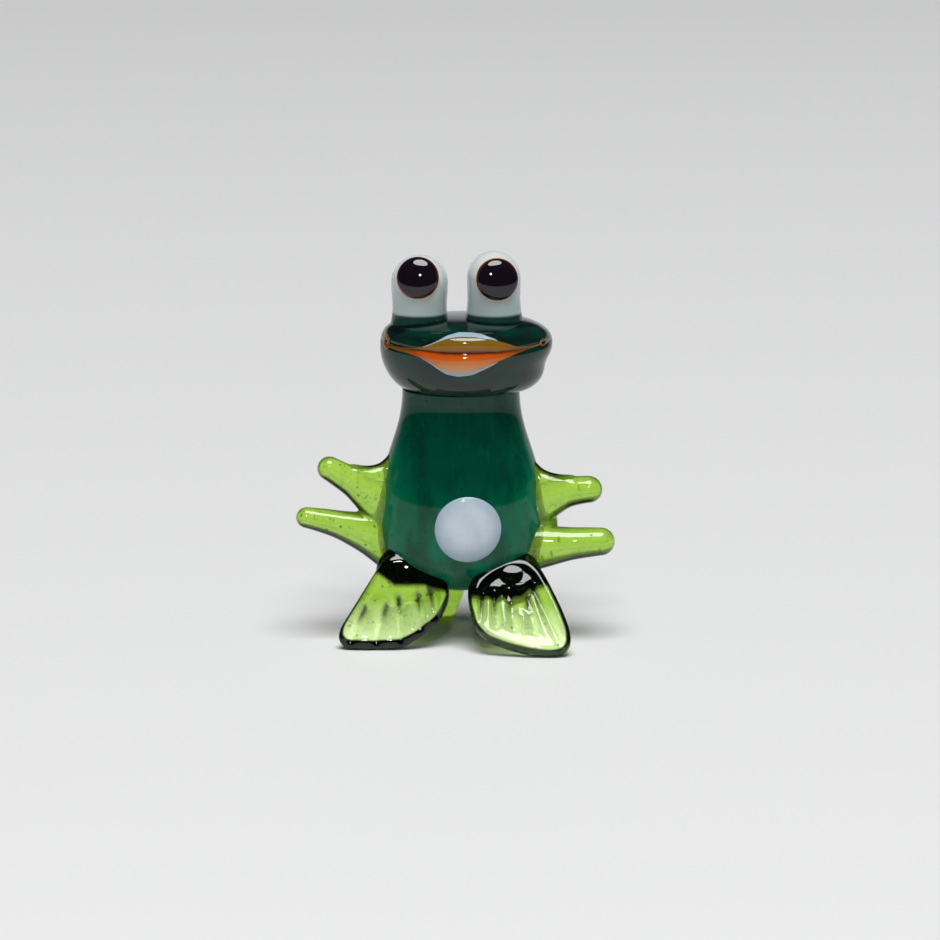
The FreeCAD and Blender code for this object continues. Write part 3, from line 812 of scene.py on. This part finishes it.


# %% [markdown]
# The head's glass is smoky and nearly opaque. Where the eye stalks were melted on, a dark ring of
# painted shade is laid round each of them.

# %% Smoky teal glass
def smoky_glass():
    paint = Paint("smoky teal glass")
    cloud = paint.noise(1.6, 3.0, (2.0, 1.0, 0.6))
    deep = paint.mix(paint.step(cloud, 0.4, 0.7), colour(0.004, 0.018, 0.016), colour(0.0, 0.045, 0.024))
    crown = paint.step(paint.axis("Z"), 31.2, 31.5)
    for eye in EYES.values():
        dx, dy = paint.axis("X") - eye["x"], paint.axis("Y") - EYE_Y
        # painted shade: a dark ring on the crown round the foot of each stalk
        ring = paint.step(dx * dx * 0.8 + dy * dy, 4.3 ** 2, 3.9 ** 2) * crown
        deep = paint.mix(ring * 0.9, deep, colour(0.0, 0.004, 0.003))
    paint.set(Base_Color=deep, Roughness=0.03, IOR=1.5, Transmission_Weight=0.35)
    return paint.material


# %% [markdown]
# The lime glass is clear. What shows in it is the bright backdrop, bent, with the dark of the room at
# its edges. Bending alone gives too little of that dark, so the darkness kept at each point deepens it,
# and a little emission stands for light caught in the thin fans. Fine dark seeds come from the torch.

# %% Lime glass
def lime_glass():
    paint = Paint("lime glass")
    cloud = paint.noise(1.2, 3.0)
    clear = paint.mix(paint.step(cloud, 0.3, 0.8), colour(0.52, 0.80, 0.12), colour(0.42, 0.74, 0.08))
    pale = paint.node("ShaderNodeAttribute", {"attribute_name": "pale"}).out("Fac")
    clear = paint.mix(pale * 0.8, clear, colour(0.82, 0.92, 0.62))
    deep = paint.node("ShaderNodeAttribute", {"attribute_name": "deep"}).out("Fac")
    # painted shade: nearly black where an arm or a fan keeps its shade
    clear = paint.mix(deep, clear, colour(0.0005, 0.0016, 0.0003))
    band = paint.step(paint.noise(2.2, 3.0), 0.35, 0.6)
    fine = paint.seeds(0.32, 0.1, 0.65) * band
    coarse = paint.seeds(0.8, 0.2, 0.3)
    clear = paint.mix(fine * 0.8, clear, colour(0.04, 0.09, 0.01))
    clear = paint.mix(coarse * 0.9, clear, colour(0.01, 0.03, 0.003))
    caught = paint.mix(pale * (1 - deep), colour(0.02, 0.035, 0.0), colour(0.20, 0.26, 0.11))
    caught = paint.mix(deep, caught, colour(0.0, 0.0, 0.0))
    paint.set(Base_Color=clear, Roughness=0.02, IOR=1.5, Transmission_Weight=0.8, Emission_Color=caught,
              Emission_Strength=1.0)
    return paint.material


# %% [markdown]
# The other rods are milky, opaque white, amber and a violet that looks black. The milk is stained warm
# round each pupil, whose edge lets a little red through, and the amber runs from a pale lower edge over
# orange to olive, as its thickness over the white changes, with a thin line of painted shade along the
# crease.

# %% Milky, white, amber and dark glass
def from_pupil(paint, eye):
    """The square of how far a place is from the axis through a pupil, in its own plane."""
    turn, tip = math.radians(eye["turn"]), math.radians(eye["upwards"])
    dx, dy = paint.axis("X") - eye["x"], paint.axis("Y") - EYE_Y
    dz = paint.axis("Z") - (eye["top"] - eye["radius"])
    side = dx * math.cos(turn) + dy * math.sin(turn)
    back = dy * math.cos(turn) - dx * math.sin(turn)
    rise = dz * math.cos(tip) + back * math.sin(tip)
    return side * side + rise * rise


def milk_glass(side):
    eye = EYES[side]
    paint = Paint("milky glass " + side)
    up = paint.axis("Z")
    base = paint.step(up, 37.5, 33.0)
    milk = paint.mix(base, colour(0.60, 0.65, 0.66), colour(0.43, 0.53, 0.51))
    milk = paint.mix(paint.step(up, 33.1, 32.75), milk, colour(0.01, 0.05, 0.035))
    halo = paint.step(from_pupil(paint, eye), (PUPIL_RADIUS + 0.16) ** 2, (PUPIL_RADIUS + 0.04) ** 2)
    milk = paint.mix(halo * 0.7, milk, colour(0.80, 0.62, 0.42))
    paint.set(Base_Color=milk, Roughness=0.12, IOR=1.5, Subsurface_Weight=0.5, Subsurface_Scale=1.2 * MM)
    paint.glass.inputs["Subsurface Radius"].default_value = (1.0, 1.0, 1.0)
    return paint.material


def dark_glass(side):
    paint = Paint("dark violet glass " + side)
    rim = paint.step(from_pupil(paint, EYES[side]), (PUPIL_RADIUS * 0.88) ** 2, PUPIL_RADIUS ** 2)
    dark = paint.mix(rim, colour(0.006, 0.003, 0.007), colour(0.09, 0.02, 0.014))
    paint.set(Base_Color=dark, Roughness=0.015, IOR=1.52)
    return paint.material


def white_glass():
    paint = Paint("white glass")
    cloud = paint.noise(1.3, 3.0)
    dx, dz = paint.axis("X") - SPOT_X, paint.axis("Z") - SPOT_HEIGHT - 0.3
    edge = paint.step(dx * dx + dz * dz, 1.0, 12.5)
    white = paint.mix(paint.step(cloud, 0.3, 0.8), colour(0.56, 0.62, 0.68), colour(0.46, 0.54, 0.61))
    white = paint.mix(edge * 0.75, white, colour(0.26, 0.36, 0.44))
    paint.set(Base_Color=white, Roughness=0.12, IOR=1.5)
    return paint.material


def amber_glass():
    paint = Paint("amber glass")
    above = paint.axis("Z") - LIP_HEIGHT - paint.axis("Y") * math.tan(LIP_TILT)
    streak = paint.noise(0.9, 3.0, (4.0, 1.0, 0.5)) - 0.5
    level = paint.node("ShaderNodeMapRange", {}, {"Value": above + streak * 0.35, "From Min": -2.4,
                                                 "From Max": 1.6}).out()
    # painted shade: the nearly black stop just above the middle is a thin line along the crease of the lips
    amber = paint.colours(level, [
        (0.0, (0.55, 0.50, 0.48)), (0.10, (0.60, 0.36, 0.20)), (0.26, (0.60, 0.24, 0.07)),
        (0.40, (0.56, 0.12, 0.01)), (0.54, (0.46, 0.06, 0.003)), (0.595, (0.05, 0.012, 0.002)),
        (0.65, (0.30, 0.11, 0.004)), (0.85, (0.20, 0.11, 0.008)), (1.0, (0.11, 0.09, 0.015))])
    sides = paint.step(paint.axis("X") * paint.axis("X"), 9.0, 36.0)
    amber = paint.mix(sides * 0.75, amber, colour(0.10, 0.05, 0.008))
    paint.set(Base_Color=amber, Roughness=0.03, IOR=1.5)
    return paint.material


# %% [markdown]
# Each piece gets its glass, and takes the place of the solid with the same name.

# %% Dressing the pieces
finished(torso, emerald_glass(), "emerald_glass", "torso")
finished(head, smoky_glass(), "smoky_teal_glass", "head")
finished(mouth_amber, amber_glass(), "amber_glass", "mouth_amber")
white = white_glass()
finished(mouth_white, white, "white_glass", "mouth_white")
finished(spot, white, "white_glass", "belly_spot")
for side in EYES:
    finished(eyes[side], milk_glass(side), "milk_glass", "eye_" + side)
    finished(pupils[side], dark_glass(side), "dark_violet_glass", "pupil_" + side)
lime = lime_glass()
finished(arm_left, lime, "lime_glass", "arm_left")
finished(arm_right, lime, "lime_glass", "arm_right")
for side in FEET:
    finished(feet[side], lime, "lime_glass", "foot_" + side)
finished(prop, lime, "lime_glass", "tail_prop")

# %% [markdown]
# A photographer lights glass by what it mirrors and bends: a white sweep low behind it, a soft light
# above its front, and a dark room everywhere else, which is what draws the dark rims.

# %% The floor
floor_mesh = bpy.data.meshes.new("floor")
FLOOR_RADIUS, FLOOR_DROP, FLOOR_SIDES = 1.6, 0.02 * MM, 96
turn = np.linspace(0, 2 * np.pi, FLOOR_SIDES, endpoint=False)
floor_points = np.stack([FLOOR_RADIUS * np.cos(turn), FLOOR_RADIUS * np.sin(turn), 0 * turn - FLOOR_DROP],
                        axis=-1)
floor_mesh.from_pydata(floor_points.tolist(), [], [list(range(FLOOR_SIDES))])
floor = bpy.data.objects.new("floor", floor_mesh)
bpy.context.scene.collection.objects.link(floor)
paper = Paint("white sweep")
paper.set(Base_Color=colour(0.74, 0.735, 0.73), Roughness=0.6, Specular_IOR_Level=0.2)
floor_mesh.materials.append(paper.material)

# %% [markdown]
# The room is dark but for the lower part of the sweep behind the frog, which its glass bends and mirrors.

# %% The room
world = bpy.data.worlds.new("room")
bpy.context.scene.world = world
world.use_nodes = True
room = world.node_tree
ways = room.nodes.new("ShaderNodeTexCoord")
apart = room.nodes.new("ShaderNodeSeparateXYZ")
room.links.new(ways.outputs["Generated"], apart.inputs[0])


def room_step(value, low, high):
    """0 below low and 1 above high in the room's own nodes."""
    step = room.nodes.new("ShaderNodeMapRange")
    step.interpolation_type = "SMOOTHSTEP"
    room.links.new(value, step.inputs["Value"])
    step.inputs["From Min"].default_value = low
    step.inputs["From Max"].default_value = high
    return step.outputs[0]


behind = room_step(apart.outputs["Y"], 0.45, 0.80)
low_down = room_step(apart.outputs["Z"], 0.30, 0.12)
both = room.nodes.new("ShaderNodeMath")
both.operation = "MULTIPLY"
room.links.new(behind, both.inputs[0])
room.links.new(low_down, both.inputs[1])
tone = room.nodes.new("ShaderNodeMix")
tone.data_type = "RGBA"
room.links.new(both.outputs[0], tone.inputs["Factor"])
tone.inputs["A"].default_value = (0.030, 0.031, 0.034, 1)
tone.inputs["B"].default_value = (0.72, 0.73, 0.76, 1)
room.links.new(tone.outputs[2], room.nodes["Background"].inputs["Color"])


# %% [markdown]
# A large soft lamp from above gives the long lights on the rods, and a small one the dots on the drops.

# %% The lamps
def lamp(name, azimuth, elevation, distance, width, height, watts, tint=(1, 1, 1)):
    """A flat lamp that looks at the frog. Azimuth 0 is the camera's side and 90 the viewer's right."""
    light = bpy.data.lights.new(name, "AREA")
    light.shape = "ELLIPSE"
    light.size, light.size_y = width, height
    light.energy = watts
    light.color = tint
    lit = bpy.data.objects.new(name, light)
    a, e = math.radians(azimuth), math.radians(elevation)
    way = Vector((math.sin(a) * math.cos(e), -math.cos(a) * math.cos(e), math.sin(e)))
    lit.location = Vector((0, 0, 0.02)) + way * distance
    lit.rotation_euler = way.to_track_quat("Z", "Y").to_euler()
    bpy.context.scene.collection.objects.link(lit)
    lit.visible_camera = False


lamp("softbox", 8, 72, 2.4, 1.7, 1.5, 70, (0.98, 0.99, 1.0))
lamp("dot", -2, 30, 0.45, 0.036, 0.036, 0.2)

# %% [markdown]
# The camera stands in front of the frog and a little above, with a long lens.

# %% The camera
LOOK_AT = Vector(in_metres((0.7, 0, 16.87)))
DISTANCE = 0.5
PICTURE_HALF, FOCAL_LENGTH = 470, 5000
camera_data = bpy.data.cameras.new("camera")
camera = bpy.data.objects.new("camera", camera_data)
bpy.context.scene.collection.objects.link(camera)
back = Vector((0, -math.cos(CAMERA_TILT), math.sin(CAMERA_TILT)))
camera.location = LOOK_AT + back * DISTANCE
camera.rotation_euler = back.to_track_quat("Z", "Y").to_euler()
camera_data.angle = 2 * math.atan(PICTURE_HALF / FOCAL_LENGTH)
bpy.context.scene.camera = camera
bpy.context.scene.view_settings.view_transform = "Standard"
